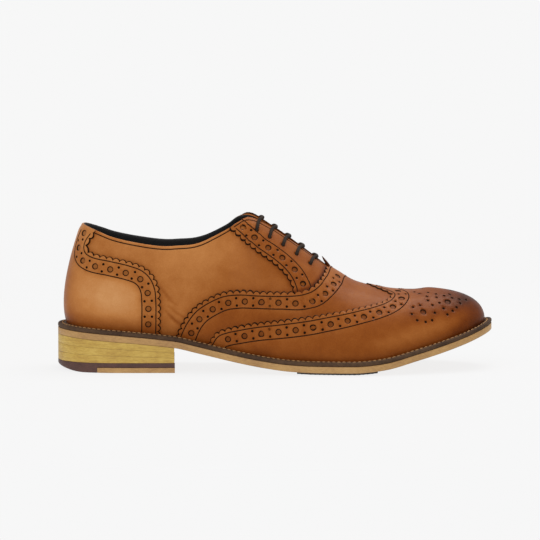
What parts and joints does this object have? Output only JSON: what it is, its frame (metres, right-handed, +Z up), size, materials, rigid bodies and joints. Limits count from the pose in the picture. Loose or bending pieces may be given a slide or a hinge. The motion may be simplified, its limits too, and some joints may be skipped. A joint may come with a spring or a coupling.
{
  "type": "brogue oxford shoe",
  "caption": "Right-foot wing-tip brogue Oxford shoe in tan leather, laced with straight bars, with a dark welt, a leather sole and a stacked heel.",
  "frame": {"origin": "on the floor, under the middle of the sole's length and width, where the heel and the forefoot tread rest", "axes": "+X towards the toe, +Y towards the inner side of the foot, +Z up"},
  "size_m": [0.3, 0.106, 0.1074],
  "materials": {
    "tan_calf": "glossy",
    "sole_leather": "satin",
    "welt_edge": "satin",
    "stacked_leather": "satin",
    "heel_rubber": "matte",
    "tread_rubber": "matte",
    "lining": "satin",
    "lace_cord": "matte"
  },
  "bodies": {
    "root": {"outsole": "sole_leather", "tread_pad": "tread_rubber", "welt": "welt_edge", "insole": "lining", "heel_top_piece": "heel_rubber", "heel_leather_tip": "sole_leather", "heel_lift_lower": "stacked_leather", "heel_lift_middle": "stacked_leather", "heel_lift_upper": "stacked_leather", "upper": "tan_calf", "counter": "tan_calf", "facing_outer": "tan_calf", "facing_inner": "tan_calf", "vamp": "tan_calf", "toe_cap": "tan_calf", "tongue": "tan_calf", "lace": "lace_cord"}
  },
  "joints": []
}
